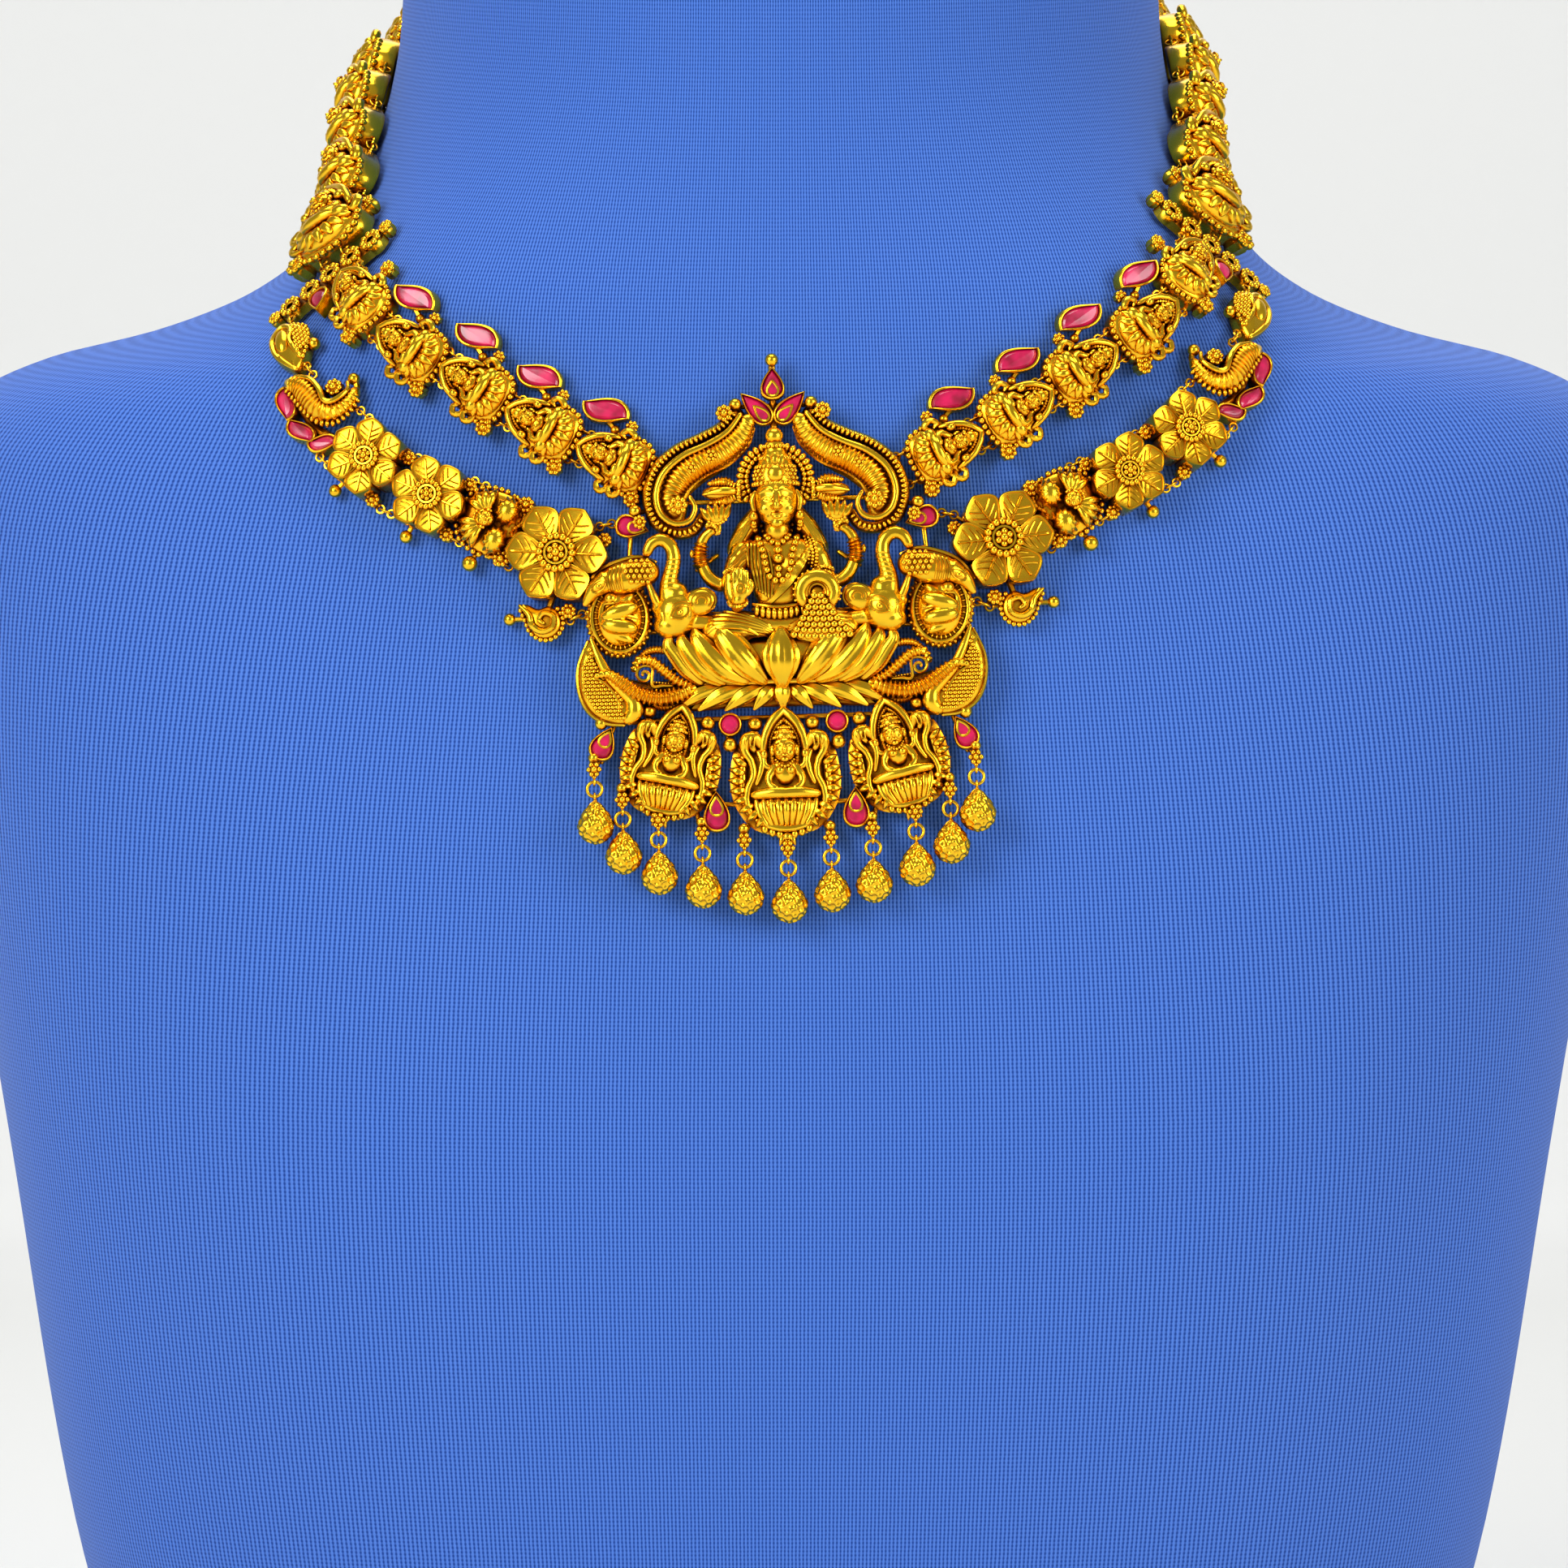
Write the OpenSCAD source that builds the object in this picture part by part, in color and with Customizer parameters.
// Temple jewellery necklace of antique gold and red stones, shown on its plain neck bust.
// Millimetres, +Z up, the bust faces -Y, and the origin is the middle of the bust's foot.

/* [Bust] */
// Height of the bust
bust_h = 290; // [270:1:320]
// Widest width, at the shoulders
bust_w = 262; // [250:1:280]
// Width of the neck at its top
neck_w = 113; // [108:1:120]
// Depth of the neck at its top
neck_d = 110; // [106:1:116]
// From the neck's axis to the front of the chest
chest_d = 81; // [78:0.5:86]
// From the neck's axis to the back
back_d = 42; // [36:1:50]
// Rounding of the neck's upper edge
neck_edge = 4; // [2:0.5:8]

/* [Necklace] */
// How far the necklace has slipped round, in degrees
sway = 1.9; // [0:0.1:2.5]
// Clearance between the metal and the bust
seat_gap = 0.4; // [0.25:0.05:0.8]
// Height of the pendant's middle, as a share of the bust's height
pendant_height = 0.615; // [0.605:0.005:0.625]
// Clearance of a stone in its setting
stone_gap = 0.13; // [0.1:0.01:0.15]

/* [Links] */
// Length of a goddess link
face_l = 9.6; // [9.2:0.1:9.9]
// Width of a goddess link
face_w = 8.4; // [7.6:0.1:9]
// Thickness of a link's plate
plate_t = 1.8; // [1.5:0.1:2.2]
// Diameter of the large flower
flower_large_d = 13.8; // [13:0.1:14.2]
// Diameter of the small flowers
flower_small_d = 11; // [10.6:0.1:11.6]
// Height of a flower's walls
flower_t = 4; // [3:0.1:4.6]
// Length of the bird link
bird_l = 8; // [7.6:0.1:8.4]
// Width of the bird link
bird_w = 9.4; // [8.5:0.1:10]
// Length of the scroll link
scroll_l = 12; // [11.4:0.1:12.6]
// Length of the scaled leaf link
leaf_l = 9.8; // [9.4:0.1:10.4]
// Length of the spacer bar, across the strands
bar_l = 19.8; // [19:0.1:20.6]
// Width of the spacer bar
bar_w = 4; // [3.4:0.1:4.4]
// Length of a leaf ruby's setting
ruby_l = 7.2; // [6.6:0.1:7.6]
// Width of a leaf ruby's setting
ruby_w = 3.8; // [3.4:0.1:4.2]

/* [Rings] */
// Radius of an eyelet, to the middle of its wire
eyelet_r = 0.6; // [0.55:0.01:0.7]
// Radius of an eyelet's wire
eyelet_wire = 0.2; // [0.16:0.01:0.22]
// Radius of a jump ring's wire
ring_wire = 0.17; // [0.14:0.01:0.2]
// Radius of a drop's ring, to the middle of its wire
drop_ring_r = 1.1; // [1:0.05:1.3]

/* [Drops] */
// Width of a drop
drop_w = 5.2; // [4.6:0.1:5.4]
// Height of a drop's body
drop_h = 5.8; // [5.2:0.1:6.4]

/* [Hidden] */
side_names = ["left", "right"];

gold = [0.86, 0.62, 0.13];
ruby = [0.78, 0.04, 0.2];
cloth = [0.2, 0.36, 0.8];

// The bust's sections: height as a share of bust_h, then how far each goes from the neck's size
// to the widest: width, front and back, and last the roundness, 2 for an ellipse.
BUST = [
    // height, width, front, back, roundness
    [0.000, 0.530, 0.580, 1.00, 2.40],
    [0.138, 0.680, 0.810, 1.00, 2.50],
    [0.338, 0.810, 1.000, 0.88, 2.45],
    [0.483, 0.905, 0.900, 0.80, 2.30],
    [0.586, 0.973, 0.750, 0.72, 2.12],
    [0.655, 1.000, 0.615, 0.62, 1.98],
    [0.690, 0.985, 0.535, 0.55, 1.90],
    [0.710, 0.935, 0.490, 0.50, 1.86],
    [0.726, 0.850, 0.450, 0.45, 1.88],
    [0.740, 0.720, 0.410, 0.41, 1.95],
    [0.752, 0.525, 0.377, 0.37, 2.20],
    [0.766, 0.369, 0.340, 0.33, 2.55],
    [0.779, 0.275, 0.308, 0.30, 2.80],
    [0.793, 0.208, 0.270, 0.25, 2.90],
    [0.814, 0.144, 0.204, 0.18, 2.75],
    [0.845, 0.078, 0.115, 0.08, 2.40],
    [0.879, 0.031, 0.050, 0.00, 2.12],
    [0.914, 0.009, 0.020, 0.00, 2.00],
    [1.000, 0.000, 0.000, 0.00, 2.00]];

// The strands' routes over the bust: turn round the neck in degrees from the front, and height share
UPPER_ROUTE = [[14.5, 0.695], [20, 0.704], [29, 0.722], [37, 0.743], [44.5, 0.763], [51.5, 0.785], [55, 0.798]];
LOWER_ROUTE = [[20.3, 0.647], [25.6, 0.658], [33, 0.675], [38.6, 0.686], [44.6, 0.702], [50.8, 0.730], [57, 0.760],
    [59.3, 0.771]];
BACK_ROUTE = [[59.5, 0.800], [64, 0.819], [71, 0.842], [81, 0.864], [94, 0.883], [110, 0.899], [130, 0.913],
    [152, 0.922], [175, 0.924]];

// Interpolation

function segment(list, x, i = 0) = i >= len(list) - 2 || x < list[i + 1][0] ? i : segment(list, x, i + 1);
function slope_at(list, i, c) =
    let (a = max(i - 1, 0), b = min(i + 1, len(list) - 1)) (list[b][c] - list[a][c]) / (list[b][0] - list[a][0]);
function hermite(p, m, q, n, t) =
    (2 * t ^ 3 - 3 * t ^ 2 + 1) * p + (t ^ 3 - 2 * t ^ 2 + t) * m + (3 * t ^ 2 - 2 * t ^ 3) * q + (t ^ 3 - t ^ 2) * n;
function smooth_column(list, x, c) =
    let (i = segment(list, x), d = list[i + 1][0] - list[i][0])
    hermite(list[i][c], slope_at(list, i, c) * d, list[i + 1][c], slope_at(list, i + 1, c) * d,
        (x - list[i][0]) / d);

// Bust surface

function half_width(h) = neck_w / 2 + smooth_column(BUST, h, 1) * (bust_w - neck_w) / 2;
function front_depth(h) = neck_d / 2 + smooth_column(BUST, h, 2) * (chest_d - neck_d / 2);
function back_depth(h) = neck_d / 2 + smooth_column(BUST, h, 3) * (back_d - neck_d / 2);
function bust_radius(turn, z) =
    let (h = z / bust_h, p = smooth_column(BUST, h, 4), depth = cos(turn) > 0 ? front_depth(h) : back_depth(h))
    (abs(sin(turn) / half_width(h)) ^ p + abs(cos(turn) / depth) ^ p) ^ (-1 / p);
function bust_point(turn, z) = let (r = bust_radius(turn, z)) [r * sin(turn), -r * cos(turn), z];
function unit(v) = v / norm(v);
// Normal of the bust's surface, averaged over span each way
function bust_normal(p, span) =
    let (turn = atan2(p.x, -p.y), step = span / norm([p.x, p.y]) * 180 / PI)
    unit(cross(bust_point(turn + step, p.z) - bust_point(turn - step, p.z),
        bust_point(turn, min(p.z + span, bust_h)) - bust_point(turn, p.z - span)));
// How far the bust stands above a point, along direction n
function bust_above(q, n) =
    let (turn = atan2(q.x, -q.y), out = [sin(turn), -cos(turn), 0])
    (bust_radius(turn, q.z) - norm([q.x, q.y])) * (out * n);

// Frames: x along the strand away from the pendant, y towards the neck, z off the bust

function point_on(side, turn, share) =
    let (p = bust_point(side * turn, share * bust_h)) bust_point(side * turn, p.z + p.x * sin(sway));
function frame_matrix(x, y, z, p) =
    [[x.x, y.x, z.x, p.x], [x.y, y.y, z.y, p.y], [x.z, y.z, z.z, p.z], [0, 0, 0, 1]];
function at(m, p) = let (q = m * [p.x, p.y, p.z, 1]) [q.x, q.y, q.z];
function axis_z(m) = [m[0][2], m[1][2], m[2][2]];
function column(m, k) = [m[0][k], m[1][k], m[2][k]];
function local(m, p) = let (d = p - column(m, 3)) [d * column(m, 0), d * column(m, 1), d * column(m, 2)];
// Lifts a piece off the bust until its footprint, from [x, y] low to [x, y] high, is clear
function seated(x, y, z, p, low, high) =
    let (lift = max([for (u = [0:0.2:1], v = [0:0.2:1])
        bust_above(p + x * (low.x + u * (high.x - low.x)) + y * (low.y + v * (high.y - low.y)), z)]))
    frame_matrix(x, y, z, p + z * (seat_gap + max(lift, 0)));

// A route as points on the bust, with the length reached at each
ROUTE_STEPS = 60;
function route_at(route, side, t) =
    let (n = len(route) - 1, k = min(floor(t * n), n - 1), f = t * n - k,
        m = (route[min(k + 1, n)] - route[max(k - 1, 0)]) / 2,
        q = (route[min(k + 2, n)] - route[k]) / (k + 2 > n ? 1 : 2),
        g = hermite(route[k], k == 0 ? route[1] - route[0] : m, route[k + 1], q, f))
    point_on(side, g[0], g[1]);
function route_points(route, side) = [for (k = [0:ROUTE_STEPS]) route_at(route, side, k / ROUTE_STEPS)];
function lengths(p) = [for (i = 0, s = 0; i < len(p); s = s + (i < len(p) - 1 ? norm(p[i + 1] - p[i]) : 0), i = i + 1) s];
function index_at(s, x, i = 0) = i >= len(s) - 2 || x < s[i + 1] ? i : index_at(s, x, i + 1);
function route_point(p, s, x) =
    let (i = index_at(s, x), t = (x - s[i]) / (s[i + 1] - s[i])) p[i] + t * (p[i + 1] - p[i]);
function route_frame(p, s, x, side, l, low, high) =
    let (c = route_point(p, s, x), z = bust_normal(c, l / 2),
        a = route_point(p, s, x + l / 2) - route_point(p, s, x - l / 2),
        along = unit(a - z * (a * z)))
    seated(along, side * cross(z, along), z, c, low, high);

// Strands: each is a list of links spread evenly along its route, each as its length and then the low
// and high corners of its footprint
function total(v, i = 0) = i >= len(v) ? 0 : v[i][0] + total(v, i + 1);
function before(v, k, i = 0) = i >= k ? 0 : v[i][0] + before(v, k, i + 1);
function strand_gap(sizes, s) = (s[len(s) - 1] - total(sizes)) / (len(sizes) + 1);
function strand_frames(sizes, route, side) =
    let (p = route_points(route, side), s = lengths(p), g = strand_gap(sizes, s))
    [for (k = [0:len(sizes) - 1])
        route_frame(p, s, before(sizes, k) + (k + 1) * g + sizes[k][0] / 2, side,
            sizes[k][0], sizes[k][1], sizes[k][2])];
function footprint(l, w, outer = 0, inner = 0, ahead = 0) =
    [l, [-l / 2 - 0.8, -w / 2 - outer], [l / 2 + 0.8 + ahead, w / 2 + inner]];
function gap_of(sizes, route) = strand_gap(sizes, lengths(route_points(route, 1)));

upper_sizes = [for (k = [1:5]) footprint(face_l, face_w, 0, 4.2, 2.4)];
lower_sizes = [footprint(flower_large_d, flower_large_d, 4.6), footprint(bird_l, bird_w, 3.8, 1),
    footprint(flower_small_d, flower_small_d, 1.8), footprint(flower_small_d, flower_small_d, 1.8),
    footprint(scroll_l, 12.6), footprint(leaf_l, 6)];
back_links = 10;
back_face_l = 10.2;
back_sizes = [for (k = [1:back_links]) footprint(back_face_l, back_face_w(k))];
function back_face_w(k) = face_w + (k == 1 ? 2.6 : 0);
upper_gap = gap_of(upper_sizes, UPPER_ROUTE);
lower_gap = gap_of(lower_sizes, LOWER_ROUTE);
back_gap = gap_of(back_sizes, BACK_ROUTE);

sides = [-1, 1];
upper_frames = [for (side = sides) strand_frames(upper_sizes, UPPER_ROUTE, side)];
lower_frames = [for (side = sides) strand_frames(lower_sizes, LOWER_ROUTE, side)];
back_frames = [for (side = sides) strand_frames(back_sizes, BACK_ROUTE, side)];

// The spacer bar lies where the three strands of a side meet
function bar_frame(side) =
    let (a = point_on(side, 54.4, 0.8145), b = point_on(side, 61.5, 0.7735), c = point_on(side, 57.8, 0.794),
        n = bust_normal(c, bar_l / 2), up = unit(a - b), z = unit(n - up * (n * up)))
    seated(side * cross(up, z), up, z, c, [-bar_w * 1.6, -bar_l / 2 - 2], [bar_w / 2 + 1, bar_l / 2 + 2]);
bar_frames = [for (side = sides) bar_frame(side)];

// The pendant hangs at the front, turned by the sway
pendant_w = 61;
pendant_h = 78;
pendant_span = 34;
function pendant_matrix() =
    let (c = bust_point(0, pendant_height * bust_h), z = bust_normal(c, pendant_span),
        x0 = unit(cross([0, 0, 1], z) * -1), x = x0 * -1, y = cross(z, x),
        xs = x * cos(sway) + y * sin(sway), ys = y * cos(sway) - x * sin(sway))
    seated(xs, ys, z, c, [-pendant_w, -pendant_h] * 0.4, [pendant_w, pendant_h] * 0.4);
PENDANT = pendant_matrix();

// Eyelets and rings

eyelet_z = 1.3;
eyelet_reach = eyelet_r + eyelet_wire;
ring_span = 2 * eyelet_reach + 0.25;
face_row = 2.3;
flower_row = 4.6;
// Where a strand's eyelets lie from a link's middle
function eyelet_x(l, gap) = (l + gap) / 2 - ring_span / 2;

module wire_ring(r, wire) rotate_extrude($fn = 24) translate([r, 0]) circle(wire, $fn = 16);
module bead(p, r) translate(p) sphere(r, $fn = 24);
// A rod from one point to another
module rod(from, to, r) {
    d = to - from;
    turn = atan2(d.y, d.x);
    translate(from) rotate([0, atan2(norm([d.x, d.y]), d.z), turn]) cylinder(r = r, h = norm(d), $fn = 16);
}
// An eyelet flat in the link's plane, held by a short rod from the link's body
module eyelet(p, from) {
    translate(p) wire_ring(eyelet_r, eyelet_wire);
    rod(from, p - unit(p - from) * eyelet_r, eyelet_wire * 1.5);
}
// Where the eyelet that a ring joins to a link's eyelet lies, in another piece's frame
function partner(m, f, x, y, away) = local(m, at(f, [x + away * ring_span, y, eyelet_z]));
// A link's two eyelets towards the pendant: partners of its neighbour's, or plain ones on the first link
function inner_eyes(frames, k, l, prev_l, gap, row) = [for (v = [1, -1])
    k == 0 ? [-eyelet_x(l, gap), v * row, eyelet_z] : partner(frames[k], frames[k - 1], eyelet_x(prev_l, gap), v * row, 1)];
module eyelets(inner, x, row, from_inner, from_outer) {
    for (p = inner) eyelet(p, [from_inner.x, sign(p.y) * from_inner.y, eyelet_z]);
    for (v = [-1, 1]) eyelet([x, v * row, eyelet_z], [from_outer.x, v * from_outer.y, eyelet_z]);
}
// A ring standing on edge through two points, in the plane of their line and direction n
module jump_ring(p, q, n) {
    x = unit(q - p);
    y = unit(cross(n, x));
    multmatrix(frame_matrix(x, cross(y, x) * -1, y, (p + q) / 2)) wire_ring(norm(q - p) / 2, ring_wire);
}

// Goddess link: a seated figure lying along the strand, with its crown at the far end

FACE_OUTLINE = [[-0.96, -0.34], [-0.76, -0.82], [-0.2, -1], [0.28, -0.86], [0.42, -0.55], [0.9, -0.42], [1, 0],
    [0.9, 0.42], [0.42, 0.55], [0.28, 0.86], [-0.2, 1], [-0.76, 0.82], [-0.96, 0.34]];
CROWN_OUTLINE = [[0.3, -0.3], [0.84, -0.3], [0.94, 0], [0.84, 0.3], [0.3, 0.3]];
function scaled(outline, l, w) = [for (p = outline) [p.x * l / 2, p.y * w / 2]];

module goddess_link(l, w, gap, frames, k) {
    linear_extrude(plate_t) polygon(scaled(FACE_OUTLINE, l, w));
    linear_extrude(plate_t * 1.5) polygon(scaled(CROWN_OUTLINE, l, w));
    bead([0.22 * l, 0, plate_t], 0.15 * w);
    bead([0, 0, plate_t - 0.4], 0.2 * w);
    for (v = [-0.26, 0, 0.26]) bead([-0.3 * l, v * w, plate_t - 0.5], 0.13 * w);
    for (u = [-0.12, 0.1], v = [-1, 1]) bead([u * l, v * 0.38 * w, plate_t - 0.3], 0.09 * w);
    eyelets(inner_eyes(frames, k, l, l, gap, face_row), eyelet_x(l, gap), face_row, [-l * 0.3, face_row],
        [l * 0.18, w * 0.3]);
}

// The setting of a leaf ruby, soldered to the goddess link's side nearest the neck
LEAF_RUBY = [[-1, 0.12], [-0.86, -0.2], [-0.5, -0.78], [0.1, -1], [0.62, -0.72], [1, -0.12], [0.86, 0.2],
    [0.5, 0.78], [-0.1, 1], [-0.62, 0.72]];
setting_rim = 0.55;
setting_t = 2.2;
stone_seat = 1.2;
stone_t = 0.9;
ruby_place = [4.4, 6.5, 0];

module leaf_outline(l, w, inset) polygon(scaled(LEAF_RUBY, l - 2 * inset, w - 2 * inset));
module leaf_setting() {
    difference() {
        linear_extrude(setting_t) leaf_outline(ruby_l, ruby_w, 0);
        translate([0, 0, stone_seat]) linear_extrude(setting_t) leaf_outline(ruby_l, ruby_w, setting_rim);
    }
}
// A stone with a flat table and sloping facets down to its edge
module table_stone(outline, l, w, inset) {
    flat = inset + 0.45;
    bottom = scaled(outline, l - 2 * inset, w - 2 * inset);
    top = scaled(outline, l - 2 * flat, w - 2 * flat);
    n = len(outline);
    polyhedron(
        points = concat([for (p = bottom) [p.x, p.y, 0]], [for (p = bottom) [p.x, p.y, stone_t * 0.6]],
            [for (p = top) [p.x, p.y, stone_t]]),
        faces = concat([[for (i = [0:n - 1]) i]], [[for (i = [n - 1:-1:0]) i + 2 * n]],
            [for (k = [0, 1], i = [0:n - 1]) [i + k * n, i + (k + 1) * n, (i + 1) % n + (k + 1) * n, (i + 1) % n + k * n]]));
}
module leaf_ruby() translate(ruby_place + [0, 0, stone_seat + stone_gap])
    table_stone(LEAF_RUBY, ruby_l, ruby_w, setting_rim + stone_gap);

// The link nearest the spacer bar carries a small flower in the ruby's place
module upper_link(k, s) {
    goddess_link(face_l, face_w, upper_gap, upper_frames[s], k - 1);
    if (k < 5) {
        translate(ruby_place) leaf_setting();
        bead([ruby_place.x - 2, ruby_place.y - 2.1, 1], 0.85);
    } else {
        bead([1.4, face_w / 2 + 1.7, 1.2], 1.3);
    }
    bead([1.2, face_w / 2 - 0.3, 1.1], 0.8);
}

// Flower link: six deep petals round a ringed boss

PETAL = [[0.28, -0.2], [0.62, -0.44], [0.86, -0.4], [1, 0], [0.86, 0.4], [0.62, 0.44], [0.28, 0.2]];

module petals(d, h, turn) {
    for (k = [0:5]) rotate(k * 60 + turn) linear_extrude(h) polygon([for (p = PETAL) p * d / 2]);
}
module flower(d, turn) {
    petals(d, flower_t, turn);
    cylinder(r = d * 0.19, h = flower_t + 0.3, $fn = 32);
    translate([0, 0, flower_t + 0.2]) wire_ring(d * 0.17, d * 0.035);
    bead([0, 0, flower_t], d * 0.09);
}
function lower_inner_eyes(s, k) = inner_eyes(lower_frames[s], k, 0, lower_sizes[k - 1][0], lower_gap, flower_row);
module flower_eyelets(d, inner)
    eyelets(inner, eyelet_x(d, lower_gap), flower_row, [-d * 0.24, flower_row * 0.6], [d * 0.24, flower_row * 0.6]);
module small_flower(k, s) {
    flower(flower_small_d, 0);
    flower_eyelets(flower_small_d, lower_inner_eyes(s, k));
    edge_bead([1.2, -flower_small_d / 2 - 1.3, 1.4], [0.8, -flower_small_d * 0.3, 1.4], 1);
}
// Small bead on a stem at the outer side of a link
module edge_bead(p, from, r) {
    bead(p, r);
    rod(from, p, 0.4);
}

// The large flower carries a comma with a bead on its lower side
COMMA = [[-2.6, -0.4], [-2.1, -1.7], [-0.7, -2.5], [0.9, -2.3], [2.1, -1.1], [2.6, 0.5], [4, 2], [2.6, 2.2],
    [1, 1.6], [-0.6, 2.1], [-2.1, 1]];
comma_place = [-2.2, -9.7, 0];
comma_turn = -20;
petal_turn = -22;
function flower_joint(s, p) = local(lower_frames[s][0], at(PENDANT, [sides[s] * p.x, p.y, p.z]));
module large_flower(s) {
    flower(flower_large_d, petal_turn);
    flower_eyelets(flower_large_d, []);
    translate(comma_place) rotate(comma_turn) {
        linear_extrude(2.2) polygon(COMMA);
        bead([-0.3, -0.2, 2.2], 1.3);
        edge_bead([5.2, -0.2, 1.1], [1.8, 0.2, 1.1], 0.95);
    }
    rod([-1.6, -4.4, 1.2], comma_place + [0, 0.6, 1.2], 0.5);
    eyelet(flower_joint(s, FLOWER_JOINTS[0]), [-2.3, 2.9, 2]);
    eyelet(flower_joint(s, FLOWER_JOINTS[1]), comma_place + [-0.8, 0.4, 1.6]);
}

// Bird link: two fluted bodies side by side with a round face between

module bird_link(s) {
    linear_extrude(plate_t) polygon(scaled(FACE_OUTLINE, bird_l, bird_w));
    for (v = [-1, 1]) {
        bead([-0.08 * bird_l, v * 0.27 * bird_w, plate_t], 0.24 * bird_w);
        for (a = [-1, 0, 1]) bead([-0.3 * bird_l, v * 0.27 * bird_w + a, plate_t + 0.3], 0.75);
    }
    bead([0.24 * bird_l, 0, plate_t], 0.17 * bird_w);
    eyelets(lower_inner_eyes(s, 1), eyelet_x(bird_l, lower_gap), flower_row, [-bird_l * 0.2, bird_w * 0.3],
        [bird_l * 0.18, bird_w * 0.28]);
    edge_bead([0.4, -bird_w / 2 - 2.2, 1.8], [0, -bird_w * 0.35, 1.3], 1.25);
}

// Scroll link: a ribbed horn that hooks round a small flower, with three rubies on its outer side

SCROLL = [[5.6, -1.8, 1.1], [4.2, -0.9, 1.7], [1.8, -0.5, 2.1], [-0.8, -0.4, 2], [-2.3, 0.9, 1.6], [-2.6, 3, 1.2],
    [-1.9, 4.9, 1]];
module blob(p, r, n = 6) translate(p) sphere(r, $fn = n);
module ellipsoid(p, r, n = 8) translate(p) scale(r) sphere(1, $fn = n);
// A chain of rounded lengths: each point is x, y and radius, at height z
module limb(points, z, n = 6) {
    for (i = [0:len(points) - 2])
        hull() for (j = [i, i + 1]) blob([points[j][0], points[j][1], z], points[j][2], n);
}
module above_back() intersection() {
    children();
    translate([-60, -60, 0]) cube([120, 120, 30]);
}
module mesh_ring(r, wire, n = 8) rotate_extrude($fn = n) translate([r, 0]) circle(wire, $fn = 4);
module mesh_eyelet(p, from) {
    translate(p) mesh_ring(eyelet_r, eyelet_wire, 6);
    hull() {
        blob(from, 0.45, 4);
        blob(p - unit(p - from) * eyelet_r, 0.26, 4);
    }
}
// Settings of the three rubies: place, turn, length and width
SCROLL_RUBIES = [[[3.9, -4.4], 28, 5.4, 2.9], [[-1.3, -4.9], -8, 5.4, 2.9], [[-5.2, -3.3], -48, 4.8, 2.7]];
module ruby_seats(list) {
    for (s = list) translate([s[0].x, s[0].y, 0]) rotate(s[1]) difference() {
        linear_extrude(setting_t) leaf_outline(s[2], s[3], 0);
        translate([0, 0, stone_seat]) linear_extrude(setting_t) leaf_outline(s[2], s[3], 0.45);
    }
}
module ruby_stones(list) {
    for (s = list) translate([s[0].x, s[0].y, stone_seat + stone_gap]) rotate(s[1])
        table_stone(LEAF_RUBY, s[2], s[3], 0.45 + stone_gap);
}
module scroll_link(s) {
    above_back() {
        limb([for (p = SCROLL) p * scroll_l / 12], 1.8, 7);
        limb([[4.6, -2.4, 0.8], [-1.6, -2.8, 0.8], [-4.6, -1.8, 0.8]], 0.9, 4);
        limb([[-2.2, 5, 0.6], [0.2, 5.9, 0.6]], 1.2, 5);
    }
    blob([0.2, 2.5, 2.2], 1.5, 8);
    hull() {
        blob([0.2, 2.5, 1.4], 1, 6);
        blob([-1.4, 0.8, 1.4], 1, 6);
    }
    blob([0.4, 6, 1.3], 1, 8);
    ruby_seats(SCROLL_RUBIES);
    for (v = [-1, 1]) {
        p = lower_inner_eyes(s, 4)[v > 0 ? 0 : 1];
        mesh_eyelet(p, v > 0 ? [-2.9, 3.2, 1.4] : [-5.4, -3.6, 0.8]);
    }
    mesh_eyelet([eyelet_x(scroll_l, lower_gap), scroll_eye_y, eyelet_z], [3.6, 0, eyelet_z]);
}
scroll_eye_y = 1.4;

// Scaled leaf link between the scroll and the spacer bar

LEAF_LINK = [[-1, 0], [-0.6, -0.5], [-0.1, -0.86], [0.5, -0.9], [0.9, -0.4], [1, 0.3], [0.6, 0.9], [0.1, 0.84],
    [-0.5, 0.5]];
leaf_w = 5.2;
leaf_eye_y = 0.4;
module leaf_link(s) {
    f = lower_frames[s];
    translate([-0.6, -0.3, 0]) {
        linear_extrude(2) polygon(scaled(LEAF_LINK, leaf_l * 0.86, leaf_w));
        linear_extrude(3.2) polygon(scaled(LEAF_LINK, leaf_l * 0.66, leaf_w * 0.62));
    }
    eyelet(partner(f[5], f[4], eyelet_x(scroll_l, lower_gap), scroll_eye_y, 1), [-leaf_l * 0.2, 0, eyelet_z]);
    eyelet([eyelet_x(leaf_l, lower_gap), leaf_eye_y, eyelet_z], [leaf_l * 0.2, leaf_eye_y, eyelet_z]);
    bead([-0.9, leaf_w / 2, 1.2], 1.1);
}

// Spacer bar: a row of beaded rosettes across the ends of the strands

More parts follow.
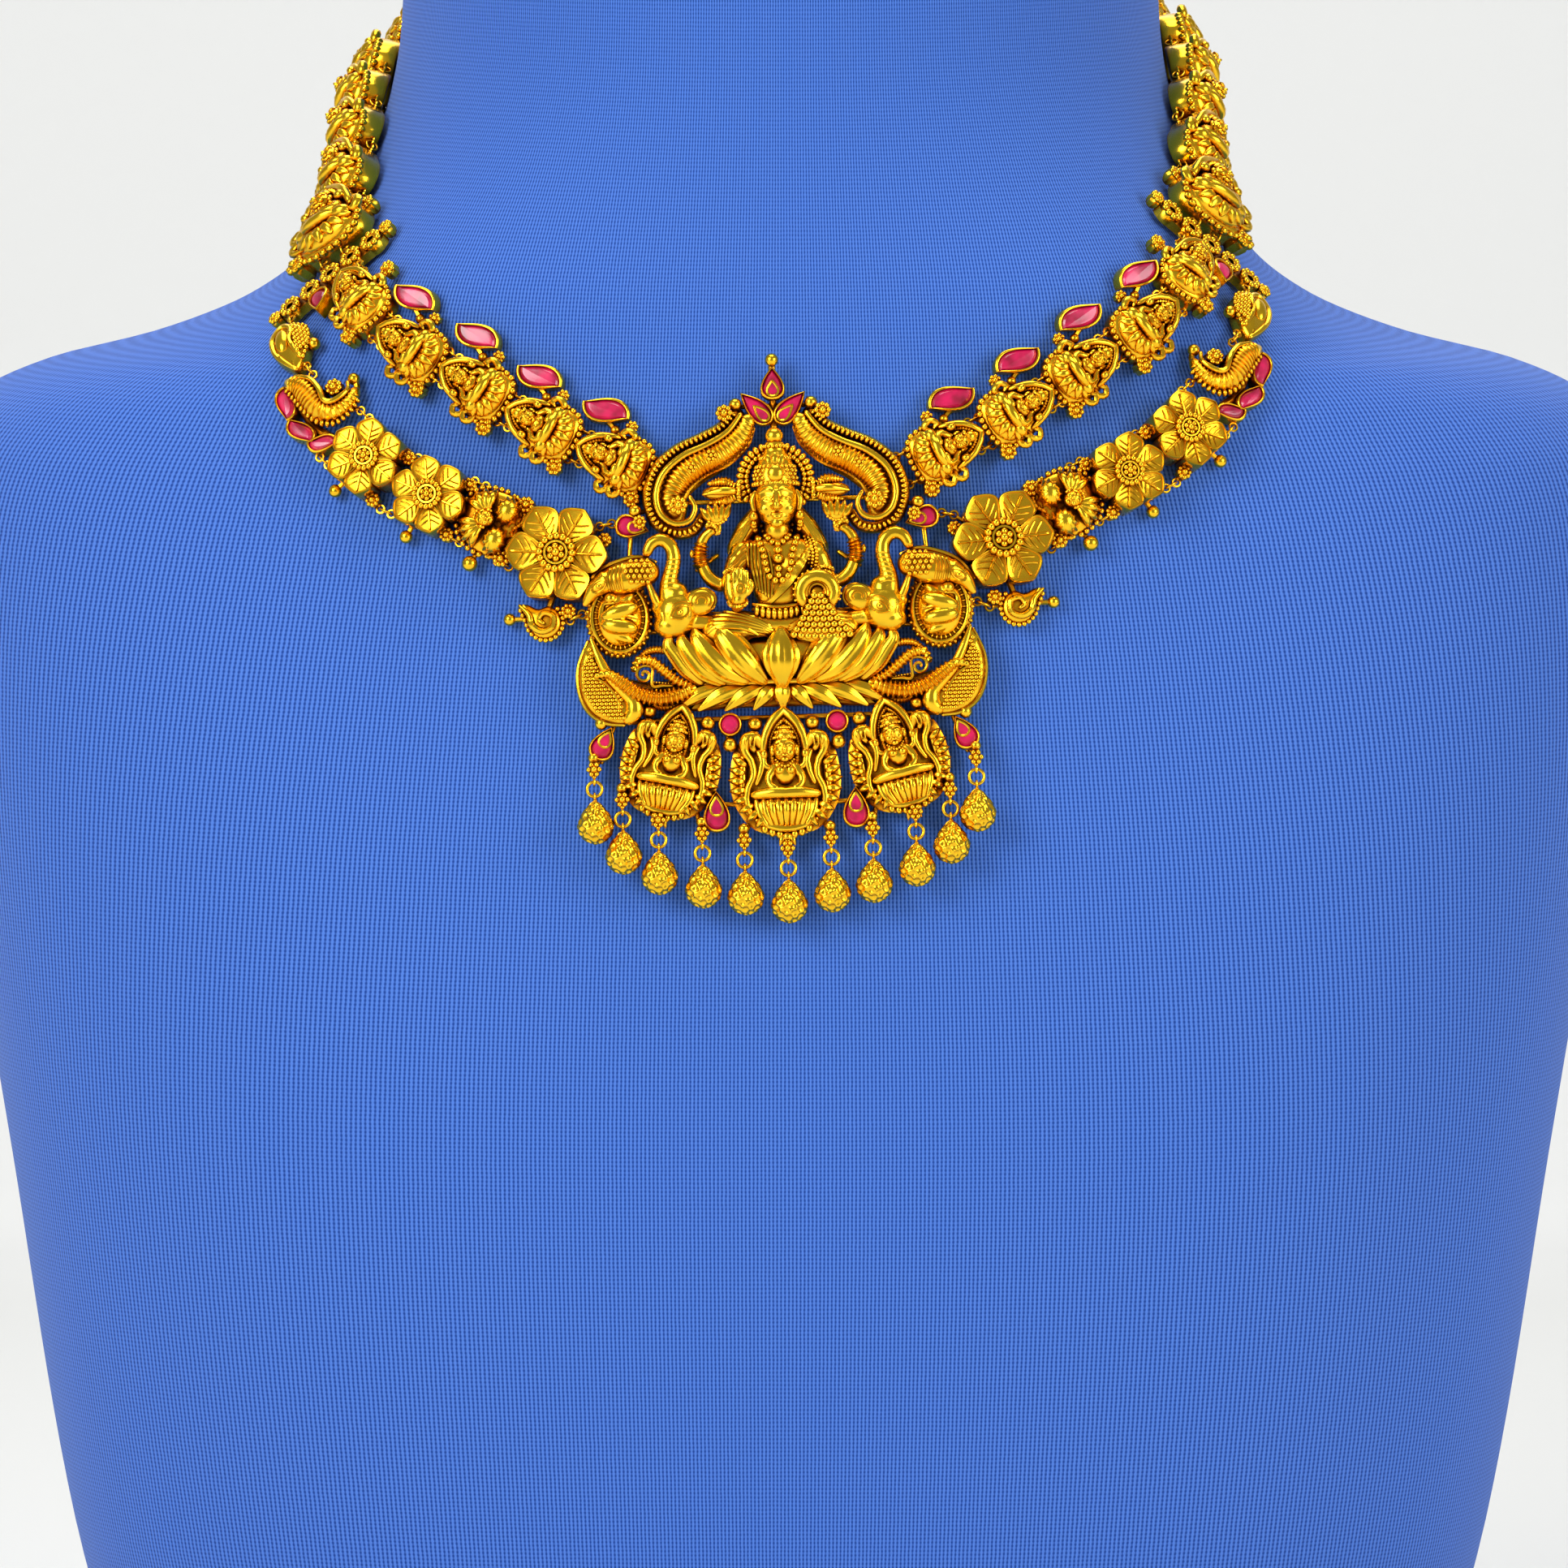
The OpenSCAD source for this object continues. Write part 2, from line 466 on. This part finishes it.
rosettes = 5;
module spacer_bar(s) {
    m = bar_frames[s];
    pitch = (bar_l - bar_w) / (rosettes - 1);
    translate([-bar_w * 0.3, -bar_l / 2 + 1, 0]) cube([bar_w * 0.6, bar_l - 2, 1.6]);
    for (k = [0:rosettes - 1]) translate([0, -bar_l / 2 + bar_w / 2 + k * pitch, 0]) difference() {
        cylinder(r = bar_w / 2, h = 2.4, $fn = 32);
        translate([0, 0, 1.6]) cylinder(r = bar_w * 0.24, h = 2, $fn = 24);
    }
    for (v = [-1, 1]) {
        p = partner(m, upper_frames[s][4], eyelet_x(face_l, upper_gap), v * face_row, 1);
        eyelet(p, [-0.8, p.y, 0.9]);
        q = partner(m, back_frames[s][0], -eyelet_x(back_face_l, back_gap), v * face_row, -1);
        eyelet(q, [0.8, q.y, 0.9]);
    }
    r = partner(m, lower_frames[s][5], eyelet_x(leaf_l, lower_gap), leaf_eye_y, 1);
    eyelet(r, [-0.8, r.y, 0.9]);
    pear_setting(BAR_RUBY);
    bead([0.4, bar_l / 2 + 0.9, 1.2], 1.05);
    bead([0.4, -bar_l / 2 - 0.9, 1.2], 1.05);
}

// Clasp at the nape: one plain box with two eyelets at each end

clasp_l = 6.4;
function clasp_frame() =
    let (c = bust_point(180, 0.924 * bust_h), z = bust_normal(c, clasp_l / 2), x = [-1, 0, 0])
    seated(x, cross(z, x), z, c, [-clasp_l, -6] / 2, [clasp_l, 6] / 2);
CLASP = clasp_frame();
module clasp() {
    hull() for (u = [-1, 1], v = [-1, 1]) translate([u * (clasp_l / 2 - 0.8), v * 2.6, 0]) cylinder(r = 0.8, h = 2, $fn = 24);
    for (s = [0, 1], v = [-1, 1]) {
        p = partner(CLASP, back_frames[s][back_links - 1], eyelet_x(back_face_l, back_gap), v * face_row, 1);
        eyelet(p, [p.x * 0.4, p.y, 1]);
    }
}

// Pendant

MIRRORED = [[0, 0, 0], [1, 0, 0]];
module both() for (m = MIRRORED) mirror(m) children();
module pair_limb(points, z, n = 5) both() limb(points, z, n);

ARCH = [[4.3, 31.7, 1.2], [6, 28.6, 1.9], [10.4, 26.3, 2.3], [14.4, 23.8, 2.7], [16.6, 20.2, 2.9], [16.5, 16.8, 2.6],
    [14.2, 15.6, 2.1], [12.6, 17, 1.5]];
TRUNK = [[16.2, 5.4, 1.5], [16.5, 8.6, 1.1], [15.4, 11.2, 1], [15.8, 13.4, 0.95], [17.4, 14.6, 0.9], [19, 13.8, 0.8]];
RAISED_ARM = [[6, 8.2, 1.3], [10.2, 9.2, 1.1], [11.2, 12.8, 0.9], [9.8, 15.6, 0.9]];
WING = [[27.4, 1], [29.4, -1.8], [30.2, -6], [28.8, -9.8], [25.8, -12], [22.4, -11.9], [20.6, -10.6], [23, -8.4],
    [25, -5], [25.8, -1.4]];
WIRE_EYE = [[22, -1.9], [17.4, -1.8], [12.6, -7.8], [17, -7.8], [22, -1.9]];

module goddess() {
    ellipsoid([0, 20.8, 3.6], [3.1, 4.1, 2.8]);
    limb([[0, 24.6, 2.7], [0, 29.4, 1.2]], 2.8);
    translate([0, 22.4, 0]) cylinder(r = 5.6, h = 2.2, $fn = 14);
    pair_limb([[4.8, 21.6, 0.8], [8.2, 21.8, 1.35], [11, 22, 0.5]], 1.9);
    blob([0, 15.8, 3.2], 1.8);
    hull() both() {
        blob([4.6, 11.6, 2.6], 1.9, 5);
        blob([2.6, 3.4, 3], 2.2, 5);
        blob([1.6, 8.6, 3.6], 2.2, 5);
    }
    pair_limb([[3, 18.6, 1.2], [6.2, 10, 1.3]], 1.6, 5);
    pair_limb(RAISED_ARM, 2.2, 5);
    both() ellipsoid([9.3, 17.9, 2.4], [1.9, 2.1, 1.9], 5);
    pair_limb([[5.6, 10.4, 1.4], [6.6, 5.2, 1.4]], 3.6);
    hull() {
        blob([-6.4, 4.8, 3.8], 1.2, 4);
        blob([-5.9, 5, 5.6], 1.2, 5);
        blob([-5.7, 8.4, 5.6], 0.8, 4);
    }
    translate([5.8, 6.2, 5]) mesh_ring(1.8, 0.85, 8);
    hull() {
        blob([5.6, 5.2, 4.6], 1.3, 5);
        blob([3.2, -0.4, 4.8], 0.9, 4);
        blob([9.2, -0.4, 4.2], 0.9, 4);
    }
    limb([[-9.6, 1.2, 1.6], [0, 0.7, 1.9], [9.6, 1.2, 1.6]], 3.4);
}

module petal(base, middle, tip, h, r) hull() {
    blob([base.x, base.y, h - 0.8], r * 0.5, 4);
    blob([middle.x, middle.y, h], r, 5);
    blob([tip.x, tip.y, h - 0.5], 0.35, 4);
}
module lotus() {
    petal([0, -6.2], [0, -3.2], [0, 1.4], 4.6, 2.4);
    both() for (k = [1:3])
        petal([1.6 + 2.9 * k, -6.3 + 0.2 * k * k], [2.6 + 3.9 * k, -3.4 + 0.2 * k], [3.2 + 4.4 * k, 1.2 - 0.3 * k],
            4.4 - 0.6 * k, 2.1);
    petal([0, -7.4], [0, -8.8], [0, -11.6], 3.2, 1.3);
    both() for (k = [1:3]) petal([3 * k, -7.4], [3.6 * k, -8.8], [4.3 * k, -10.8], 3.1 - 0.16 * k, 1.5);
    limb([[-12.2, -8.6, 1.3], [0, -7.8, 1.6], [12.2, -8.6, 1.3]], 1.2, 5);
}
module elephant() {
    blob([15.6, 3.9, 2.8], 2.8, 8);
    ellipsoid([16, 1.7, 3.2], [2.3, 2.1, 2.2], 6);
    limb(TRUNK, 2.4, 5);
    hull() {
        blob([17.6, 5.2, 3], 0.5, 4);
        blob([19.1, 8, 3], 0.25, 4);
    }
    ellipsoid([11.6, 5.4, 2.8], [2.2, 2, 1.5], 6);
}
module arch() {
    limb(ARCH, 2);
    blob([13.9, 19, 2.6], 1.7);
}
module peacock() {
    translate([23, 4.4, 0]) {
        cylinder(r = 5.3, h = 2.2, $fn = 14);
        translate([0, 0, 2.2]) mesh_ring(4.4, 1.1, 14);
        blob([-0.8, -0.4, 2.6], 2.3, 8);
    }
    ellipsoid([22.6, 11.1, 1.9], [3.3, 2.5, 2.2]);
    blob([23.6, 8.8, 2], 1.4);
}
module wing() {
    linear_extrude(2.6) polygon(WING);
    limb([[26.4, -1.6, 0.9], [25, -5.6, 1.1], [22.2, -9.4, 1.1]], 2.6, 5);
}
module wire_eye() {
    limb([for (p = WIRE_EYE) [p.x, p.y, 0.8]], 1.4, 5);
    limb([[19, -2.4, 0.6], [17.8, -4.6, 0.6], [16.6, -7.4, 0.6]], 1.2, 4);
}

// Settings for pear stones: place, turn of the point from +Y, length and width
PEARS = [[[0, 37.2], 0, 5, 4.2], [[21.5, 16.5], 105, 4.6, 3.4], [[26.6, -15.4], 28, 5.2, 4.2], [[10.3, -26], 0, 6, 4.2]];
BAR_RUBY = [[-4, -3.4], 110, 4.8, 4];
PEAR = [[0, 1], [-0.56, 0.3], [-0.96, -0.3], [-0.66, -0.86], [0, -1], [0.66, -0.86], [0.96, -0.3], [0.56, 0.3]];
CREST_LEAF = [[2.9, 33.9], -52, 5.8, 3];
pear_t = 2.4;
module pear_outline(l, w, inset) polygon(scaled(PEAR, w - 2 * inset, l - 2 * inset));
module pear_setting(s) translate([s[0].x, s[0].y, 0]) rotate(s[1]) difference() {
    linear_extrude(pear_t) pear_outline(s[2], s[3], 0);
    translate([0, 0, stone_seat]) linear_extrude(pear_t) pear_outline(s[2], s[3], 0.5);
}
module pear_stone(s) translate([s[0].x, s[0].y, stone_seat + stone_gap]) rotate(s[1])
    table_stone(PEAR, s[3], s[2], 0.5 + stone_gap);
round_ruby_place = [7.9, -13.2];
round_ruby_r = 1.6;
module round_setting() translate([round_ruby_place.x, round_ruby_place.y, 0]) difference() {
    cylinder(r = round_ruby_r, h = pear_t, $fn = 12);
    translate([0, 0, stone_seat]) cylinder(r = round_ruby_r - 0.4, h = pear_t, $fn = 12);
}
module round_stone() translate([round_ruby_place.x, round_ruby_place.y, stone_seat + stone_gap])
    cylinder(r1 = round_ruby_r - 0.4 - stone_gap, r2 = round_ruby_r - 0.9, h = 1.1, $fn = 12);

// Round beads of the pendant: x, y and radius, each on both sides
BEADS = [[20.9, 18.9, 0.95], [19.8, -10.8, 1.05], [26.9, -12.4, 0.95], [11.2, -12.9, 1.05], [4.2, -13.3, 1.05],
    [5.6, 34.2, 0.95], [6.4, 31.4, 1.2]];

// A small plaque with a seated figure between two arched stems over a lotus bowl
module plaque() {
    difference() {
        union() {
            cylinder(r = 7.2, h = 1.8, $fn = 14);
            linear_extrude(1.4) polygon([[-4.4, 4], [4.4, 4], [0, 9.4]]);
        }
        both() translate([2.9, -1.6, -1]) cube([1.7, 4.6, 9]);
    }
    hull() {
        blob([0, 7.9, 1.4], 0.8, 5);
        both() blob([1.6, 4.8, 1.8], 0.9, 5);
    }
    ellipsoid([0, 3.9, 2.6], [1.5, 1.9, 1.5], 6);
    hull() {
        both() blob([1.7, 1.2, 2], 0.9, 4);
        blob([0, -1.4, 2.2], 1.6, 5);
    }
    limb([[-3.6, -2.4, 1], [3.6, -2.4, 1]], 2.6, 4);
    hull() {
        both() blob([2.9, -4, 1.7], 1.2, 4);
        blob([0, -6, 1.6], 1.4, 5);
    }
    blob([0, -7.6, 1.4], 1.2, 5);
}
PLAQUES = [[[0, -21.4], 0, 1.1], [[-16.9, -19.2], -13, 0.98], [[16.9, -19.2], 13, 0.98]];

// Hanging points of the drops, from the middle outwards
HANGERS = [[0, -32.2], [6.4, -30.8], [12.6, -29.6], [19, -27.4], [24.2, -24.2], [28.2, -19.6]];
DROP_POINTS = concat([for (k = [5:-1:1]) [-HANGERS[k].x, HANGERS[k].y]], HANGERS);
drop_z = drop_w / 2 + 0.1;
hanger_eye_r = 0.5;
hanger_drop = 1.5;
ring_drop = hanger_drop + drop_ring_r;
module hanger(p) {
    hull() {
        blob([p.x, p.y + 0.4, 1], 1.3, 4);
        blob([p.x, p.y - 0.8, drop_z], 0.4, 4);
    }
    translate([p.x, p.y - hanger_drop, drop_z]) rotate([0, 90, 0]) mesh_ring(hanger_eye_r, eyelet_wire, 5);
}

// Bars at the back that the castings are soldered to
BACK_BARS = [[[-26.6, -12.4], [26.6, -12.4]], [[-15, 20], [15, 20]], [[0, -7], [0, -16]], [[-12, 9], [12, 9]],
    [[0, 28], [0, 40.2]], [[4.6, 34], [-4.6, 34]]];
SIDE_BARS = [[[24, -10], [27, -18]], [[22.4, 7], [21.4, 18]], [[26.6, -16], [28.2, -19.4]], [[22, -22], [24.2, -24]],
    [[18, -24], [19, -27.2]], [[13.6, -24], [12.6, -29.2]], [[5, -26], [6.4, -30.4]], [[8, -14], [10.3, -25]],
    [[15, 20], [21, 18.6]], [[16, 0], [24, 0]]];
module bar(a, b) hull() {
    blob([a.x, a.y, 0.6], 0.8, 4);
    blob([b.x, b.y, 0.6], 0.8, 4);
}

// Where the pendant meets the large flowers, on the flower's side and on its own
FLOWER_JOINTS = [[26.2, 17, -0.5], [31, 3.2, -0.5]];
PENDANT_JOINTS = [[24.4, 17.3, 0.2], [29.2, 4, 0.2]];
module pendant_eyelets() {
    for (s = [0, 1]) {
        for (v = [-1, 1])
            mesh_eyelet(partner(PENDANT, upper_frames[s][0], -eyelet_x(face_l, upper_gap), v * face_row, -1),
                [sides[s] * 15.8, 22.6, 0.9]);
        mesh_eyelet([sides[s] * PENDANT_JOINTS[0].x, PENDANT_JOINTS[0].y, PENDANT_JOINTS[0].z],
            [sides[s] * 22.6, 16.4, 0.9]);
        mesh_eyelet([sides[s] * PENDANT_JOINTS[1].x, PENDANT_JOINTS[1].y, PENDANT_JOINTS[1].z],
            [sides[s] * 26.6, 4.4, 0.9]);
    }
}

module pendant() {
    above_back() {
        goddess();
        lotus();
        both() {
            arch();
            elephant();
            peacock();
            wing();
            wire_eye();
            round_setting();
            for (s = PEARS) if (s[0].x > 0) pear_setting(s);
            pear_setting(CREST_LEAF);
            for (b = BEADS) blob([b[0], b[1], 1.2], b[2], 5);
            for (b = SIDE_BARS) bar(b[0], b[1]);
        }
        pear_setting(PEARS[0]);
        blob([0, 40.6, 1.2], 0.95);
        for (b = BACK_BARS) bar(b[0], b[1]);
        for (p = PLAQUES) translate([p[0].x, p[0].y, 0]) rotate(p[1]) scale([p[2], p[2], 1]) plaque();
    }
    for (p = DROP_POINTS) hanger(p);
    pendant_eyelets();
}
module pendant_stones() {
    both() {
        round_stone();
        for (s = PEARS) if (s[0].x > 0) pear_stone(s);
        pear_stone(CREST_LEAF);
    }
    pear_stone(PEARS[0]);
}

// A drop: a rounded bud on its own small eyelet
DROP = [[0, -0.5], [0.34, -0.48], [0.68, -0.4], [0.92, -0.24], [1, -0.04], [0.94, 0.14], [0.74, 0.3], [0.44, 0.42],
    [0.2, 0.49], [0, 0.5]];
module drop_shape(p) {
    top = p.y - ring_drop - drop_ring_r;
    translate([p.x, top - hanger_eye_r - drop_h / 2 - 0.1, drop_z]) rotate([-90, 0, 0])
        rotate_extrude($fn = 32) polygon([for (q = DROP) [q.x * drop_w / 2, q.y * drop_h]]);
    translate([p.x, top, drop_z]) rotate([0, 90, 0]) wire_ring(hanger_eye_r, eyelet_wire);
}
module drop_ring(p) translate([p.x, p.y - ring_drop, drop_z]) wire_ring(drop_ring_r, ring_wire);

// Bust

sections = 33;
ring_points = 36;
// Section heights crowd together at the shoulders
function section_share(k) = lookup(k / sections,
    [[0, 0], [0.15, 0.5], [0.3, 0.69], [0.72, 0.795], [0.88, 0.9], [1, 1]]);
module bust() color(cloth) {
    rings = [for (k = [0:sections]) let (z = section_share(k) * (bust_h - neck_edge))
            [for (i = [0:ring_points - 1]) bust_point(i * 360 / ring_points, z)],
        for (a = [30, 60, 85]) let (inset = neck_edge * (1 - cos(a)), z = bust_h - neck_edge + neck_edge * sin(a))
            [for (i = [0:ring_points - 1]) let (t = i * 360 / ring_points, r = bust_radius(t, z) - inset)
                [r * sin(t), -r * cos(t), z]]];
    n = ring_points;
    m = len(rings);
    polyhedron(
        points = [for (r = rings, p = r) p],
        faces = concat([[for (i = [0:n - 1]) i]], [[for (i = [n - 1:-1:0]) (m - 1) * n + i]],
            [for (k = [0:m - 2], i = [0:n - 1]) [k * n + i, (k + 1) * n + (i + 1) % n, k * n + (i + 1) % n]],
            [for (k = [0:m - 2], i = [0:n - 1]) [k * n + i, (k + 1) * n + i, (k + 1) * n + (i + 1) % n]]));
}

// The rings at one end of a link, each through the link's eyelet and its partner
module end_rings(frame, x, rows, away)
    for (y = rows) jump_ring(at(frame, [x, y, eyelet_z]), at(frame, [x + away * ring_span, y, eyelet_z]), axis_z(frame));
face_rows = [face_row, -face_row];

module upper_rings(s) {
    f = upper_frames[s];
    end_rings(f[0], -eyelet_x(face_l, upper_gap), face_rows, -1);
    for (m = f) end_rings(m, eyelet_x(face_l, upper_gap), face_rows, 1);
}
module lower_rings(s) {
    f = lower_frames[s];
    for (k = [0, 1]) {
        p = FLOWER_JOINTS[k];
        q = PENDANT_JOINTS[k];
        jump_ring(at(PENDANT, [sides[s] * p.x, p.y, p.z]), at(PENDANT, [sides[s] * q.x, q.y, q.z]), axis_z(PENDANT));
    }
    for (k = [0:3]) end_rings(f[k], eyelet_x(lower_sizes[k][0], lower_gap), [flower_row, -flower_row], 1);
    end_rings(f[4], eyelet_x(scroll_l, lower_gap), [scroll_eye_y], 1);
    end_rings(f[5], eyelet_x(leaf_l, lower_gap), [leaf_eye_y], 1);
}
module back_rings(s) {
    f = back_frames[s];
    end_rings(f[0], -eyelet_x(back_face_l, back_gap), face_rows, -1);
    for (m = f) end_rings(m, eyelet_x(back_face_l, back_gap), face_rows, 1);
}

module lower_piece(k, s) {
    if (k == 0) large_flower(s);
    if (k == 1) bird_link(s);
    if (k == 2 || k == 3) small_flower(k, s);
    if (k == 4) scroll_link(s);
    if (k == 5) leaf_link(s);
}
lower_names = ["flower_link_", "bird_link_", "flower_link_", "flower_link_", "scroll_link_", "leaf_link_"];
lower_suffix = ["_1", "", "_2", "_3", "", ""];

bust();
color(gold) multmatrix(PENDANT) pendant();
color(ruby) multmatrix(PENDANT) pendant_stones();  // pendant_rubies
color(gold) multmatrix(PENDANT) for (p = DROP_POINTS) drop_ring(p);  // drop_rings
for (k = [1:11])
    color(gold) multmatrix(PENDANT) drop_shape(DROP_POINTS[k - 1]);
for (s = [0, 1]) {
    for (k = [1:5])
        color(gold) multmatrix(upper_frames[s][k - 1]) upper_link(k, s);
    for (k = [0:5])
        color(gold) multmatrix(lower_frames[s][k]) lower_piece(k, s);
    color(gold) multmatrix(bar_frames[s]) spacer_bar(s);
    color(gold) for (k = [0:back_links - 1]) multmatrix(back_frames[s][k])
            goddess_link(back_face_l, back_face_w(k + 1), back_gap, back_frames[s], k);
    color(ruby) {
            for (k = [0:3]) multmatrix(upper_frames[s][k]) leaf_ruby();
            multmatrix(bar_frames[s]) pear_stone(BAR_RUBY);
        }
    color(ruby) multmatrix(lower_frames[s][4]) ruby_stones(SCROLL_RUBIES);
    color(gold) upper_rings(s);
    color(gold) lower_rings(s);
    color(gold) back_rings(s);
}
color(gold) multmatrix(CLASP) clasp();
